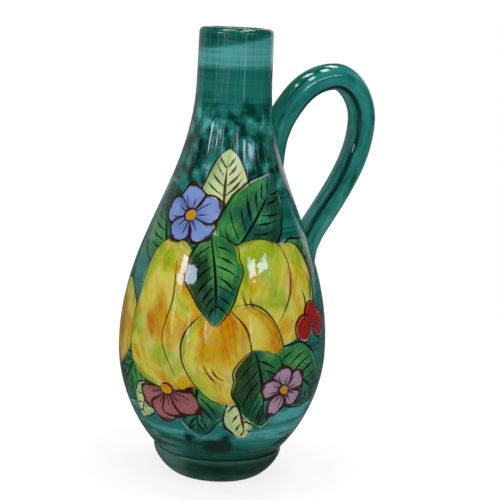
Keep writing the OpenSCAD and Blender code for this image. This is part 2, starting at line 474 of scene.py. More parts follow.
# Blossoms: loaded petals round a yellow eye, with the paint pooled at their tips
def petal(place, long, wide, light, deep, seed):
    h = np.linspace(0, 1, 30)
    half = wide / 2 * np.sin(math.pi * h**1.45) ** 0.72 * (1 + 0.05 * np.sin(h * 9 + seed))
    right = np.stack([half, long * h], 1)
    outline = np.concatenate([right, (right * [-0.94, 1])[-2:0:-1]])

    def grain(x, y):
        up = np.clip(y / long, 0.25, 1)
        return x / up, y

    def wash(x, y, depth):
        up = np.clip(y / long, 0, 1)
        across, along = grain(x, y)
        streak = waves(across, along * 0.2, 3.0, seed)
        patch = waves(x, y, 9, seed + 9)
        pigment = mixed(deep, light, smooth(-0.1, 0.6, up + 0.25 * streak + 0.2 * patch))
        loaded = 0.9 * smooth(0.68, 1.05, up + 0.2 * patch) + 0.4 * smooth(2.2, 0.4, depth)
        pigment = mixed(pigment, deep, loaded)
        return pigment, mixed(light, deep, smooth(0.3, 1.1, 1 - up + 0.2 * patch)), 0.42 + 0.2 * patch

    add_motif(place, outline, wash, grain, 0.8, [(1.0, 0.02, 0.56), (1.25, 0.54, 0.98)], INK_BROWN)
    pooled = outline[26:34] * [1, 0.985]
    add_line(place, pooled, 2.0, INK_BROWN, 0.8, 0.2, 0.2)
    for k in (-1, 1):
        vein = [(0.07 * k, 0.2), (0.15 * k, 0.42), (0.2 * k, 0.62 - 0.08 * k)]
        add_line(place, through(vein * np.array([wide, long]), 8), 0.65, INK_BROWN, 0.8, 0.9, 0.2)


def blossom(angle, height, turn, petals, long, wide, light, deep, seed, fan=360.0):
    for k in range(petals):
        swing = turn + (k - (petals - 1) / 2) * fan / petals + draw.uniform(-5, 5)
        place = Place(angle, height, swing)
        petal(place, long * draw.uniform(0.86, 1.08), wide * draw.uniform(0.88, 1.08), light, deep, seed + k)
    eye = 0.18 * long
    t = ring(28)
    outline = np.stack([np.cos(t), np.sin(t)], 1) * eye

    def wash(x, y, depth):
        low = smooth(-0.6, 0.8, -y / eye)
        return mixed(YELLOW, ORANGE, low), mixed(ORANGE, YELLOW, low), 0.3 + 0 * x

    middle = Place(angle, height, turn)
    add_wash(middle, outline, wash, 0.4)
    contour(middle, outline * 1.05, 0.9, 0.0, 0.98, INK_BROWN)


def cherry(angle, height, wide, seed):
    place = Place(angle, height)
    t = ring(48)
    outline = np.stack([np.cos(t), np.sin(t) * 0.96], 1) * wide / 2

    def wash(x, y, depth):
        low = smooth(-0.2, 1.0, (x - y) / wide + 0.3 * waves(x, y, 6, seed))
        return mixed(RED, RED_DEEP, low), mixed(RED_DEEP, RED, low), 0.3 + 0 * x

    add_reserve(place, outline)
    add_wash(place, outline, wash)
    contour(place, outline, 0.9, 0.05, 0.97)
    stalk = np.array([(0, 0.46), (0.18, 0.95), (0.1, 1.5)]) * wide
    add_line(place, through(stalk), 0.9, INK_BROWN)


def dab(angle, height, wide, tall, seed, paint, strength, bleed=0.45, soft=2.6):
    """A dab of a loaded brush on the ground."""
    place = Place(angle, height, draw.uniform(-9, 9))
    t = ring(40)
    edge = wavering(t, np.random.default_rng(seed).uniform(0, 6, 3), 1, (2, 0.10), (3, 0.08), (7, 0.04))
    outline = np.stack([np.cos(t) * wide / 2, np.sin(t) * tall / 2], 1) * edge[:, None]

    def grain(x, y):
        return (y, x) if wide > tall else (x, y)

    def wash(x, y, depth):
        return mixed(paint, paint, 0 * x), mixed(paint, TEAL, bleed + 0 * x), 0.42 + 0 * x

    add_wash(place, outline, wash, min(soft, 0.4 * min(wide, tall)), strength, grain, GROUND_MARK)


# The ground's own marks: wide level strokes, pale and deep, and a few black blots under the belly
for count, seed, heights, widths, depths, paint, strength in (
        (28, 500, (25, 44), (22, 46), (4, 8), TEAL_PALE, 0.55),
        (14, 530, (15, 26), (20, 40), (4, 7), TEAL_DEEP, 0.6)):
    for k in range(count):
        angle, height, wide, tall = (draw.uniform(*span) for span in ((0, 360), heights, widths, depths))
        dab(angle, height, wide, tall, seed + k, paint, strength)
for angle, height, wide, tall in ((-116, 22, 38, 18), (4, 20, 44, 16), (84, 21, 56, 18), (170, 20, 40, 15)):
    dab(angle, height, wide, tall, 900 + angle, TEAL_BLACK, 0.5, 0.3, 7)
for angle, height, wide, tall in (
        (-134, 27, 8, 8), (-116, 22.5, 18, 12), (-110, 26, 11, 10), (-64, 21, 9, 6), (-59, 23, 10, 7),
        (-10, 25, 8, 7), (30, 21, 10, 7), (36, 24, 11, 7), (58, 28, 7, 7), (93, 22, 9, 6), (98, 24, 9, 7),
        (150, 25, 9, 7)):
    dab(angle, height, wide, tall, 540 + angle, TEAL_BLACK, 1.0, 0.05, 5)

# The front of the painting, from what lies behind to what lies in front
leaf(-120, 138, 4, 40, 23, 4, 3, True)
leaf(-168, 120, 36, 48, 28, 6, 1)
leaf(-92, 126, -40, 50, 30, -6, 2)
leaf(-58, 108, -74, 40, 23, 5, 4)
leaf(-178, 50, 140, 40, 26, 5, 5)
leaf(-128, 44, 174, 34, 27, -4, 6)
leaf(-101, 38, 204, 24, 15, 3, 7, True)
leaf(-164, 41, 146, 23, 14, -3, 9, True)
apricot(-196, 74, 10, 44, 1, 0.55, 14)
apricot(-119, 99, 6, 40, -1, 0.4, 15)
apricot(-84, 96, -12, 52, 1, 0.25, 12)
pear(-146, 84, 16, 70, 55, 1, 0.5, 11)
apricot(-108, 68, 8, 48, 1, 0.8, 13)
leaf(-120, 101, 192, 42, 25, 5, 16)
leaf(-66, 56, 240, 44, 28, 3, 8)
leaf(-91, 52, 196, 40, 27, 4, 10)
blossom(-146, 127, 10, 5, 15.5, 14, BLUE_PALE, BLUE, 21)
blossom(-145, 50, 186, 4, 17, 13.5, ROSE, ROSE_DEEP, 26, 150)
blossom(-78, 51, 15, 5, 13, 10.5, LILAC, LILAC_DEEP, 31)
for k in range(3):
    cherry(-48 - 8 * k, 78 + 6 * (k % 2), 12, 36 + k)

# The back, in the same way
leaf(62, 132, 6, 42, 23, -4, 40, True)
leaf(22, 118, 38, 46, 27, 6, 41)
leaf(96, 122, -38, 48, 28, -6, 42)
leaf(128, 108, -70, 38, 22, 5, 43)
leaf(18, 50, 140, 42, 26, 5, 44)
leaf(70, 42, 178, 38, 27, 4, 45)
leaf(118, 50, 232, 40, 25, 3, 46)
leaf(40, 39, 160, 25, 15, 3, 47, True)
leaf(96, 38, 204, 24, 15, 3, 48, True)
apricot(17, 72, -8, 40, -1, 0.35, 51)
apricot(104, 94, 10, 50, -1, 0.75, 52)
pear(44, 84, -14, 70, 54, -1, 0.6, 53)
apricot(80, 68, 8, 48, -1, 0.3, 54)
blossom(40, 124, 10, 5, 15, 14, LILAC, LILAC_DEEP, 61)
blossom(50, 49, 175, 5, 16, 12, BLUE_PALE, BLUE, 66, 180)
blossom(112, 53, -10, 5, 14, 12, ROSE, ROSE_DEEP, 71)
for k in range(3):
    cherry(136 + 8 * k, 74 + 6 * (k % 2), 11, 76 + k)
layers.sort(key=lambda layer: layer["level"])

# The painting is cut into the wall, so every wash and line is a region of the wall's own mesh
grid_step = 2.2
line_room = 0.45
border_room = 0.5
cut_gap = 1e-5
weld_digits = 3
columns = int(flat_width / grid_step)
rows = int(flat_height / grid_step)
grid_across = np.linspace(0, flat_width, columns + 1)
grid_up = np.linspace(0, flat_height, rows + 1)
border = np.concatenate([
    np.stack([grid_across, 0 * grid_across], 1)[:-1],
    np.stack([0 * grid_up + flat_width, grid_up], 1)[:-1],
    np.stack([grid_across, 0 * grid_across + flat_height], 1)[:0:-1],
    np.stack([0 * grid_up, grid_up], 1)[:0:-1],
])
border_edges = [(k, (k + 1) % len(border)) for k in range(len(border))]
drawn = [border]
drawn_count = len(border)
regions = []
region_layer = []
loose = []
for number, layer in enumerate(layers):
    local = layer["outline"]
    area = np.sum(local[:, 0] * np.roll(local[:, 1], -1) - np.roll(local[:, 0], -1) * local[:, 1])
    if area < 0:
        local = layer["outline"] = local[::-1].copy()
    way = np.roll(local, -1, 0) - np.roll(local, 1, 0)
    inward = np.stack([-way[:, 1], way[:, 0]], 1) / (np.linalg.norm(way, axis=1)[:, None] + 1e-9)
    flat = layer["place"].to_flat(local)
    turns = math.floor(flat[:, 0].mean() / flat_width)
    for shift in (turns - 1, turns, turns + 1):
        moved = flat - [shift * flat_width, 0]
        if moved[:, 0].max() <= 0 or moved[:, 0].min() >= flat_width:
            continue
        regions.append(list(range(drawn_count, drawn_count + len(moved))))
        region_layer.append(number)
        drawn.append(moved)
        drawn_count += len(moved)
        if "wash" in layer:
            loose.append(layer["place"].to_flat(local + inward * layer["soft"]) - [shift * flat_width, 0])
drawn = np.concatenate(drawn)
loose.append(np.array([(x + (grid_step / 2 if row % 2 else 0), y)
                       for row, y in enumerate(grid_up[1:-1]) for x in grid_across[1:-1]]))
near = KDTree(len(drawn))
for k, (x, y) in enumerate(drawn):
    near.insert((x, y, 0), k)
near.balance()
loose = np.array([p for p in np.concatenate(loose)
                  if border_room < p[0] < flat_width - border_room
                  and border_room < p[1] < flat_height - border_room
                  and near.find((p[0], p[1], 0))[2] > line_room])
cut_points, _, cut_faces, _, _, cut_regions = delaunay_2d_cdt(
    [Vector(p) for p in np.concatenate([drawn, loose]).tolist()], border_edges, regions, 0, cut_gap, True)
cut_points = np.array([p[:] for p in cut_points])
cut_faces = np.array(cut_faces)
middles = cut_points[cut_faces].mean(1)
inside_sheet = ((middles > 0) & (middles < [flat_width, flat_height])).all(1)
faces = cut_faces[inside_sheet]
covering = [{region_layer[r] for r in cut_regions[k]} for k in np.flatnonzero(inside_sheet)]
corners = cut_points[faces]

# Every wash and line is laid over the ones before it, at the corners of the triangles that it covers
pigment = np.zeros((len(faces), 3, 4))
bleed = np.zeros((len(faces), 3, 4))
brush = np.zeros((len(faces), 3, 3))
faces_of = {}
for k, numbers in enumerate(covering):
    for number in numbers:
        faces_of.setdefault(number, []).append(k)
for number, layer in enumerate(layers):
    under = np.array(faces_of.get(number, []), int)
    if not len(under):
        continue
    place = layer["place"]
    own = place.from_flat(corners[under].reshape(-1, 2))
    if "wash" in layer:
        start = layer["outline"]
        along = np.roll(start, -1, 0) - start
        gap = own[:, None] - start[None]
        t = np.clip((gap * along).sum(2) / ((along**2).sum(1) + 1e-12), 0, 1)
        depth = np.linalg.norm(gap - t[..., None] * along, axis=2).min(1)
        first, second, wet = layer["wash"](own[:, 0], own[:, 1], depth)
        cover = layer["strength"] * smooth(0, layer["soft"], depth)
        swept = np.stack(layer["grain"](own[:, 0], own[:, 1]), 1) if layer["grain"] else own
        brush[under] = np.concatenate([swept, 0 * own[:, :1] + place.shift], 1).reshape(-1, 3, 3)
    else:
        first = second = layer["ink"] + 0 * own[:, :1]
        wet = 0 * own[:, 0]
        cover = layer["strength"] + 0 * own[:, 0]
    cover = cover[:, None]
    pigment[under] += ((np.concatenate([first, 1 + 0 * cover], 1) * cover).reshape(-1, 3, 4)
                       - pigment[under] * cover.reshape(-1, 3, 1))
    bleed[under] += ((np.concatenate([second, wet[:, None]], 1) * cover).reshape(-1, 3, 4)
                     - bleed[under] * cover.reshape(-1, 3, 1))

# The sheet is rolled up: its two sides are welded behind the handle
angle = cut_points[:, 0] * MM / belly_r
run = cut_points[:, 1] * MM
radius = wall_radius(run)
height = np.interp(run, outside_run, outside[:, 1])
slope_r = np.interp(run, outside_run, outside_way[:, 0])
slope_z = np.interp(run, outside_run, outside_way[:, 1])
rolled = np.stack([radius * np.cos(angle), radius * np.sin(angle), height], 1)
facing = np.stack([slope_z * np.cos(angle), slope_z * np.sin(angle), -slope_r], 1)
used, faces_used = np.unique(faces, return_inverse=True)
keys = np.round(rolled[used] / MM, weld_digits)
_, keep, weld = np.unique(keys, axis=0, return_index=True, return_inverse=True)
weld = weld.reshape(-1)
vertices = [rolled[used][keep]]
normals = [facing[used][keep]]
wall_faces = weld[faces_used.reshape(-1, 3)]
whole = (wall_faces != np.roll(wall_faces, 1, 1)).all(1)
wall_faces, corners, pigment, bleed, brush = (a[whole] for a in (wall_faces, corners, pigment, bleed, brush))

# The lip, the bore, the hollow inside and the seat are turned on from the wall's two rims
hollow_belly = belly - [wall_t, 0]
bore_top = np.array([bore_r, bottle_height - mouth_round])
bore_end = bore_top - [0, bore_len]
floor_edge = np.array([seat_r - floor_round / 2, floor_z])
lip = np.concatenate([
    [lip_start],
    arc(lip_middle, lip_round, 0, 90, 10),
    line(lip_middle + [0, lip_round], bore_top + [mouth_round, mouth_round], 2),
    arc(bore_top + [mouth_round, 0], mouth_round, 90, 180, 6),
    line(bore_top, bore_top - [0, 2 * MM], 1),
])
hollow = np.concatenate([
    lip[-1:],
    line(lip[-1], bore_end, 6),
    curve(bore_end, bore_end - [0, neck_pull], hollow_belly + [0, belly_high_pull], hollow_belly, 30),
    curve(hollow_belly, hollow_belly - [0, belly_low_pull + floor_round], floor_edge + [floor_round, 0],
          floor_edge, 16),
    line(floor_edge, (0, floor_z), 5),
])
seat = np.concatenate([
    [crease],
    line(crease, (seat_r, base_z), 4),
    line((seat_r, base_z), (0, base_z), 8),
])
# On the bake map the seat, the wall, the lip and the hollow lie one above the other
seat_v, wall_v, lip_v, hollow_v = 0.0, 0.03, 0.80, 0.84
polygons = wall_faces.tolist()
polygon_uv = (np.array([0, wall_v]) + corners / [flat_width, flat_height / (lip_v - wall_v)]).tolist()


def rim(up):
    """The wall's vertices round one of its rims, in order of their angle."""
    at = np.flatnonzero(np.abs(cut_points[used][:, 1] - up) < 1e-4)
    at = at[np.argsort(cut_points[used][at, 0])]
    return weld[at[:-1]]


def turn_on(start, profile, side, v_first, v_last):
    """Rows of faces from a rim along a profile, outside on its right or left, and the last rim."""
    turn = np.arctan2(vertices[0][rim(flat_height), 1], vertices[0][rim(flat_height), 0])
    way = np.gradient(profile, axis=0)
    way /= np.linalg.norm(way, axis=1)[:, None]
    share = np.linspace(v_first, v_last, len(profile))
    before = start
    for k in range(1, len(profile)):
        (r, z), (dr, dz) = profile[k], way[k]
        count = len(turn) if r > 1e-9 else 1
        first = sum(len(v) for v in vertices)
        at = turn[:count]
        vertices.append(np.stack([r * np.cos(at), r * np.sin(at), z + 0 * at], 1))
        normals.append(side * np.stack([dz * np.cos(at), dz * np.sin(at), -dr + 0 * at], 1))
        if count == 1:
            normals[-1][0, :2] = 0
        after = first + np.arange(len(turn)) % count
        for j in range(len(turn)):
            n = (j + 1) % len(turn)
            loop = [before[j], before[n], after[n], after[j]]
            u, v = j / len(turn), (j + 1) / len(turn)
            spots = [(u, share[k - 1]), (v, share[k - 1]), (v, share[k]), (u, share[k])]
            if count == 1:
                loop, spots = loop[:3], spots[:3]
            polygons.append(loop[::side])
            polygon_uv.append(spots[::side])
        before = after
    return before


lip_rim = turn_on(rim(flat_height), lip, 1, lip_v, hollow_v)
outside_count = len(polygons)
turn_on(lip_rim, hollow, 1, hollow_v, 1.0)
turn_on(rim(0), seat, -1, wall_v, seat_v)

bottle_mesh = bpy.data.meshes.new("painted_bottle")
bottle_mesh.from_pydata(np.concatenate(vertices).tolist(), [], polygons)
bottle_mesh.validate()
corner_count = len(bottle_mesh.loops)
for name, kind, values in (("pigment", "FLOAT_COLOR", pigment), ("bleed", "FLOAT_COLOR", bleed),
                           ("brush", "FLOAT_VECTOR", brush)):
    spread = np.zeros((corner_count, values.shape[2]), np.float32)
    spread[:len(corners) * 3] = values.reshape(-1, values.shape[2])
    made = bottle_mesh.attributes.new(name, kind, "CORNER")
    made.data.foreach_set("color" if kind == "FLOAT_COLOR" else "vector", spread.ravel())
bake_map = bottle_mesh.uv_layers.new(name="OFBake")
bake_map.data.foreach_set("uv", np.array([uv for face in polygon_uv for uv in face], np.float32).ravel())
bottle_mesh.polygons.foreach_set(
    "material_index", (np.arange(len(polygons)) >= outside_count).astype(np.int32))
bottle_mesh.polygons.foreach_set("use_smooth", np.ones(len(polygons), bool))
bottle_mesh.normals_split_custom_set_from_vertices(np.concatenate(normals).tolist())
bottle = bpy.data.objects.new("painted_bottle", bottle_mesh)
scene.collection.objects.link(bottle)


def fill(node, **sockets):
    """Gives a node's sockets, by name or by number as i0, their values or the fields that feed them."""
    for name, value in sockets.items():
        socket = node.inputs[int(name[1:]) if name[1:].isdigit() else name.replace("_", " ")]
        if isinstance(value, Field):
            node.id_data.links.new(value.socket, socket)
        else:
            socket.default_value = value


class Field:
    """A socket of a node tree, so that sums on what varies over a surface are written as sums."""

    def __init__(self, socket):
        self.socket = socket

    @staticmethod
    def node(tree, kind, output=0, settings=None, **sockets):
        """One output of a new node, whose settings are made before its sockets are filled."""
        made = tree.nodes.new(kind)
        for name, value in (settings or {}).items():
            setattr(made, name, value)
        fill(made, **sockets)
        return Field(made.outputs[output])

    def then(self, kind, output=0, settings=None, **sockets):
        """One output of a new node in the same tree."""
        return Field.node(self.socket.id_data, kind, output, settings, **sockets)

    def maths(self, operation, other=0.0, swapped=False):
        """A Math node on this value and another, or on the other and this one."""
        first, second = (other, self) if swapped else (self, other)
        return self.then("ShaderNodeMath", 0, {"operation": operation}, i0=first, i1=second)

    def __add__(self, other):
        return self.maths("ADD", other)

    def __radd__(self, other):
        return self.maths("ADD", other, True)

    def __sub__(self, other):
        return self.maths("SUBTRACT", other)

    def __rsub__(self, other):
        return self.maths("SUBTRACT", other, True)

    def __mul__(self, other):
        return self.maths("MULTIPLY", other)

    def __rmul__(self, other):
        return self.maths("MULTIPLY", other, True)

    def __truediv__(self, other):
        return self.maths("DIVIDE", other)

    def __rtruediv__(self, other):
        return self.maths("DIVIDE", other, True)

    def rise(self, low, high):
        """0 below low, 1 above high, and smooth between."""
        return self.then("ShaderNodeMapRange", 0, {"interpolation_type": "SMOOTHSTEP"},
                         Value=self, From_Min=low, From_Max=high)

    def vector(self, operation, other=(0, 0, 0), output=0):
        """A Vector Math node on this vector and another."""
        return self.then("ShaderNodeVectorMath", output, {"operation": operation}, i0=self, i1=other)

    def scaled(self, by):
        """A vector or colour times a vector or a value."""
        if isinstance(by, tuple):
            return self.vector("MULTIPLY", by)
        return self.then("ShaderNodeVectorMath", 0, {"operation": "SCALE"}, i0=self, Scale=by)

    def axis(self, name):
        """One axis of a vector."""
        return self.then("ShaderNodeSeparateXYZ", name, Vector=self)

    def noise(self, pitch, detail=3.0, rough=0.5, warp=0.0):
        """Soft noise at this place, 0 to 1, with a pitch along each axis."""
        return self.then("ShaderNodeTexNoise", 0, {"normalize": True}, Vector=self.scaled(pitch), Scale=1,
                         Detail=detail, Roughness=rough, Distortion=warp)

    def bump(self, strength, depth):
        """The normals of a surface with this relief."""
        return self.then("ShaderNodeBump", "Normal", Strength=strength, Distance=depth, Height=self)


def over(first, second, share):
    """One colour laid over another."""
    first, second = (c if isinstance(c, Field) else (*c, 1) for c in (first, second))
    return share.then("ShaderNodeMix", 2, {"data_type": "RGBA"}, i0=share, i6=first, i7=second)


def new_finish(name):
    """A material, its shader and the coordinates of the piece that wears it."""
    material = bpy.data.materials.new(name)
    material.use_nodes = True
    where = Field.node(material.node_tree, "ShaderNodeTexCoord", "Object")
    return material, material.node_tree.nodes["Principled BSDF"], where


def stored(where, name, part):
    """What the mesh stores under a name: a colour, its alpha or a vector."""
    return where.then("ShaderNodeAttribute", part, {"attribute_name": name})


def height_mm(where):
    """Height above the table, in millimetres."""
    return where.axis("Z") * (1 / MM)


def way_out(where):
    """The level direction from the bottle's axis."""
    return where.scaled((1, 1, 0)).vector("NORMALIZE")


def down_runs(where):
    """Where the wet glaze ran down the neck: fine upright lines, almost the same at every height."""
    spot = way_out(where).scaled((11, 11, 0)).vector("ADD", where.scaled((0, 0, 9)))
    return spot.noise((1, 1, 1), 2)


def painted_left_sheen(where):
    """Where the bottle's left side faces, for a painted sheen: paler teal standing in for a pale surround
    mirrored in the glaze.
    """
    return way_out(where).vector("DOT_PRODUCT", (-1, 0, 0), "Value").rise(0.72, 0.97)


def brushed_teal(where):
    """The teal ground, laid on the turning wheel with a wide brush: bands on the neck, dabs below them."""
    height = height_mm(where)
    tilted = height - where.axis("X") * 230
    hair = where.noise((9, 9, 620), 4, 0.6)
    wide_hair = where.noise((14, 14, 160))
    touch = where.noise((165, 165, 140), 2, 0.45, 0.3)
    patch = where.noise((28, 28, 34), 2)
    above_band = tilted.rise(203.5, 206)
    band = height.rise(191, 193.5) * (1 - above_band)
    band = band + 0.35 * height.rise(191.1, 192.1) * (1 - height.rise(192.5, 193.5))
    dabbed = height.rise(132, 142) * (1 - height.rise(170, 181))
    low = 1 - height.rise(40, 56)
    light = 0.28 + 0.62 * band + 0.22 * low
    light = light + (hair - 0.5) * 0.85 + (wide_hair - 0.5) * 0.8 + (patch - 0.5) * 0.9
    light = light + height.rise(134, 150) * (down_runs(where) - 0.5) * 0.3
    light = light + dabbed * ((touch - 0.53) * 3.8) - above_band * 0.03
    ground = over(over(TEAL_DEEP, TEAL, light.rise(0.0, 0.5)), TEAL_PALE, light.rise(0.5, 1.15))
    ground = over(ground, TEAL_BLACK, dabbed * (1 - touch.rise(0.36, 0.44)) * 0.8)
    # Darker towards the crease above the foot ring: painted shade
    ground = over(ground, TEAL_BLACK, (1 - height.rise(13.5, 26)) * (0.35 + 0.8 * patch))
    # Paler grey teal towards the left of the lower body: a painted sheen
    return over(ground, TEAL_PAINTED_SHEEN, (1 - height.rise(20, 34)) * painted_left_sheen(where) * (0.3 + 0.6 * wide_hair))


# The painted glaze: paint over the brushed ground, both under the same gloss
painted, shader, where = new_finish("fruit_painted_glaze")
cover = stored(where, "pigment", "Alpha")
wetness = stored(where, "bleed", "Alpha")
stroke = stored(where, "brush", "Vector")
streak = stroke.noise((0.62, 0.13, 1.0), 4, 0.62, 0.7)
pool = stroke.noise((0.19, 0.14, 1.0), 3, 0.55, 1.2)
flow = (streak * 0.55 + pool * 0.45 + (wetness - 0.4) * 0.5).rise(0.34, 0.64)
paint = over(stored(where, "pigment", "Color"), stored(where, "bleed", "Color"), flow)
paint = paint.scaled(1 / cover.maths("MAXIMUM", 0.02))
edge = where.noise((700, 700, 700), 2)
laid = (cover + (edge - 0.5) * 0.5 * cover * (1 - cover) * 4).rise(0.05, 0.8)
ripple = where.noise((12, 12, 150), 1)
peel = where.noise((260, 260, 260), 1)
uneven = where.noise((130, 130, 110), 2)
height = height_mm(where)
on_neck = height.rise(134, 152)
on_rim = height.rise(205.5, 207)
on_shoulder = height.rise(130, 140) * (1 - height.rise(152, 164))
gloss = (0.03 + 0.07 * peel) * (1 - 0.6 * on_rim) + 0.04 * on_shoulder
ridges = down_runs(where).rise(0.5, 0.64) * on_neck * (1.1 - 0.85 * height.rise(158, 178) - 0.15 * on_rim)
relief = (ripple * 0.08 + peel * 0.03 + uneven * 0.5) * (1 - 0.9 * on_neck) + laid * 0.012 + ridges
fill(shader, Base_Color=over(brushed_teal(where), paint, laid), Roughness=gloss,
     Normal=relief.bump(1.0, 0.4 * MM))

# Inside, where a hand can't brush it, the bottle keeps its plain tin-white glaze
white_glaze, shader, where = new_finish("white_glaze")
cloud = where.noise((90, 90, 60), 4, 0.6)
fill(shader, Base_Color=over(colour(226, 218, 198), colour(206, 194, 168), cloud.rise(0.35, 0.7)),
     Roughness=0.10 + 0.12 * cloud)
bottle_mesh.materials.append(painted)
bottle_mesh.materials.append(white_glaze)
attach(bottle, "root")
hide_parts("body")

# Foot ring
# A ring of the same clay, luted round the base and turned on the wheel: rounded under, with a
# flat to stand on that is wiped clean of glaze, and a recess inside it.
foot_r = foot_high.y
foot_drop = 1 * MM
foot_wide_z = crease_z - foot_drop
foot_bow = 0.35
foot_edge = 0.7 * MM
base_r = 19.5 * MM
recess_r = 14 * MM
foot_segments = 180
seam_gap = 0.001 * MM
edge_middle = np.array([foot_r - foot_edge, crease_z - foot_edge])
foot_profile = np.concatenate([
    [(recess_r, base_z)],
    line((recess_r, base_z), (recess_r, 0), 6),
    line((recess_r, 0), (base_r, 0), 4),
    curve((base_r, 0), (base_r + (foot_r - base_r) * foot_bow, 0), (foot_r, foot_wide_z * (1 - foot_bow)),
          (foot_r, foot_wide_z), 26),
    line((foot_r, foot_wide_z), edge_middle + [foot_edge, 0], 2),
    arc(edge_middle, foot_edge, 0, 90, 8),
    line(edge_middle + [0, foot_edge], crease, 2),
    line(crease, (seat_r, base_z), 5),
    line((seat_r, base_z), (recess_r, base_z), 4),
])


def upright(points):
    """Points of a profile, which are a reach and a height, stood in the plane of the handle."""
    return np.insert(points, 1, 0, axis=1)


def new_tree(name, **inputs):
    """A node tree that takes a mesh and named inputs, and the fields of those inputs."""
    made = bpy.data.node_groups.new(name, "GeometryNodeTree")
    made.interface.new_socket("Geometry", in_out="INPUT", socket_type="NodeSocketGeometry")
    for label, kind in inputs.items():
        made.interface.new_socket(label.replace("_", " "), in_out="INPUT", socket_type="NodeSocket" + kind)
    made.interface.new_socket("Geometry", in_out="OUTPUT", socket_type="NodeSocketGeometry")
    start = made.nodes.new("NodeGroupInput")
    return made, {socket.name: Field(socket) for socket in start.outputs if socket.name}


def grid_rows(given, across):
    """A grid with a row for each point of the source, and the row and the column of each of its vertices."""
    rows = across.then("GeometryNodeAttributeDomainSize", "Point Count", Geometry=given["Geometry"])
    grid = across.then("GeometryNodeMeshGrid", "Mesh", Vertices_X=across + 1, Vertices_Y=rows)
    index = across.then("GeometryNodeInputIndex")
    return grid, index.maths("MODULO", rows), (index / rows).maths("FLOOR")


def from_row(given, row, value, kind="FLOAT_VECTOR"):
    """What a point of the source holds, for every vertex of its row."""
    return row.then("GeometryNodeSampleIndex", 0, {"data_type": kind, "domain": "POINT"},
                    Geometry=given["Geometry"], Value=value, Index=row)


def vector_of(x, y, z):
    """A vector from its three axes."""
    return x.then("ShaderNodeCombineXYZ", X=x, Y=y, Z=z)


def finish_tree(geometry, given):
    """Closes the seam, smooths the faces and gives the piece its glaze."""
    geometry = geometry.then("GeometryNodeMergeByDistance", Geometry=geometry, Distance=seam_gap)
    geometry = geometry.then("GeometryNodeSetShadeSmooth", Geometry=geometry)
    geometry = geometry.then("GeometryNodeRealizeInstances", Geometry=geometry)
    geometry = geometry.then("GeometryNodeSetMaterial", Geometry=geometry, Material=given["Glaze"])
    fill(geometry.socket.id_data.nodes.new("NodeGroupOutput"), Geometry=geometry)


def shaped(name, tree, vertices, attributes, **inputs):
    """A piece made by a node tree from a row of points, as a plain mesh."""
    source = bpy.data.meshes.new(name)
    source.from_pydata(vertices.tolist(), [], [])
    for label, values in attributes.items():
        kind, part = ("FLOAT_VECTOR", "vector") if values.ndim == 2 else ("FLOAT", "value")
        made = source.attributes.new(label, kind, "POINT")
        made.data.foreach_set(part, values.astype(np.float32).ravel())
    piece = bpy.data.objects.new(name, source)
    scene.collection.objects.link(piece)
    maker = piece.modifiers.new("shape", "NODES")
    maker.node_group = tree
    for socket in tree.interface.items_tree:
        if socket.in_out == "INPUT" and socket.name.replace(" ", "_") in inputs:
            maker[socket.identifier] = inputs[socket.name.replace(" ", "_")]
    ready = piece.evaluated_get(bpy.context.evaluated_depsgraph_get())
    plain = bpy.data.meshes.new_from_object(ready)
    plain.materials.pop(index=0)
    piece.modifiers.remove(maker)
    piece.data = plain
    bpy.data.meshes.remove(source)
    return piece


foot_glaze, shader, where = new_finish("deep_green_glaze")
height = height_mm(where)
sweep = where.noise((40, 40, 320), 4, 0.6)
fleck = where.noise((130, 130, 130), 3, 0.6)
deep = over(colour(3, 34, 22), colour(10, 56, 42), sweep.rise(0.36, 0.62))
deep = over(deep, TEAL_BLACK, (1 - fleck.rise(0.32, 0.5)) * 0.6)
deep = over(deep, colour(16, 104, 84), (1 - height.rise(1.5, 7)) * (0.45 + 0.55 * sweep.rise(0.3, 0.6)))
# Paler grey teal towards the left of the foot: a painted sheen
deep = over(deep, TEAL_PAINTED_SHEEN, painted_left_sheen(where) * (0.2 + 0.6 * sweep))
# A pale band along the top edge of the foot ring: a painted highlight where the crease catches the light
deep = over(deep, colour(86, 126, 106), height.rise(10.8, 13.0) * (0.1 + 0.4 * fleck))
clay = over(colour(188, 140, 104), colour(160, 112, 80), fleck.rise(0.35, 0.65))
bare = 1 - height.rise(0.5, 1.1)
fill(shader, Base_Color=over(deep, clay, bare), Roughness=0.08 + 0.08 * fleck + 0.6 * bare,
     Normal=(sweep * 0.6 + fleck * 0.4).bump(0.12, 1.2 * MM))

tree, given = new_tree("turned_ring", Segments="Int", Glaze="Material")
grid, row, column = grid_rows(given, given["Segments"])
spot = from_row(given, row, row.then("GeometryNodeInputPosition"))
turn = column / given["Segments"] * (2 * math.pi)
reach = spot.axis("X")
turned = vector_of(reach * turn.maths("COSINE"), reach * turn.maths("SINE"), spot.axis("Z"))
finish_tree(grid.then("GeometryNodeSetPosition", Geometry=grid, Position=turned), given)
foot = shaped("glazed_foot", tree, upright(foot_profile), {}, Segments=foot_segments, Glaze=foot_glaze)
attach(foot, "root")
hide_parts("foot_ring")

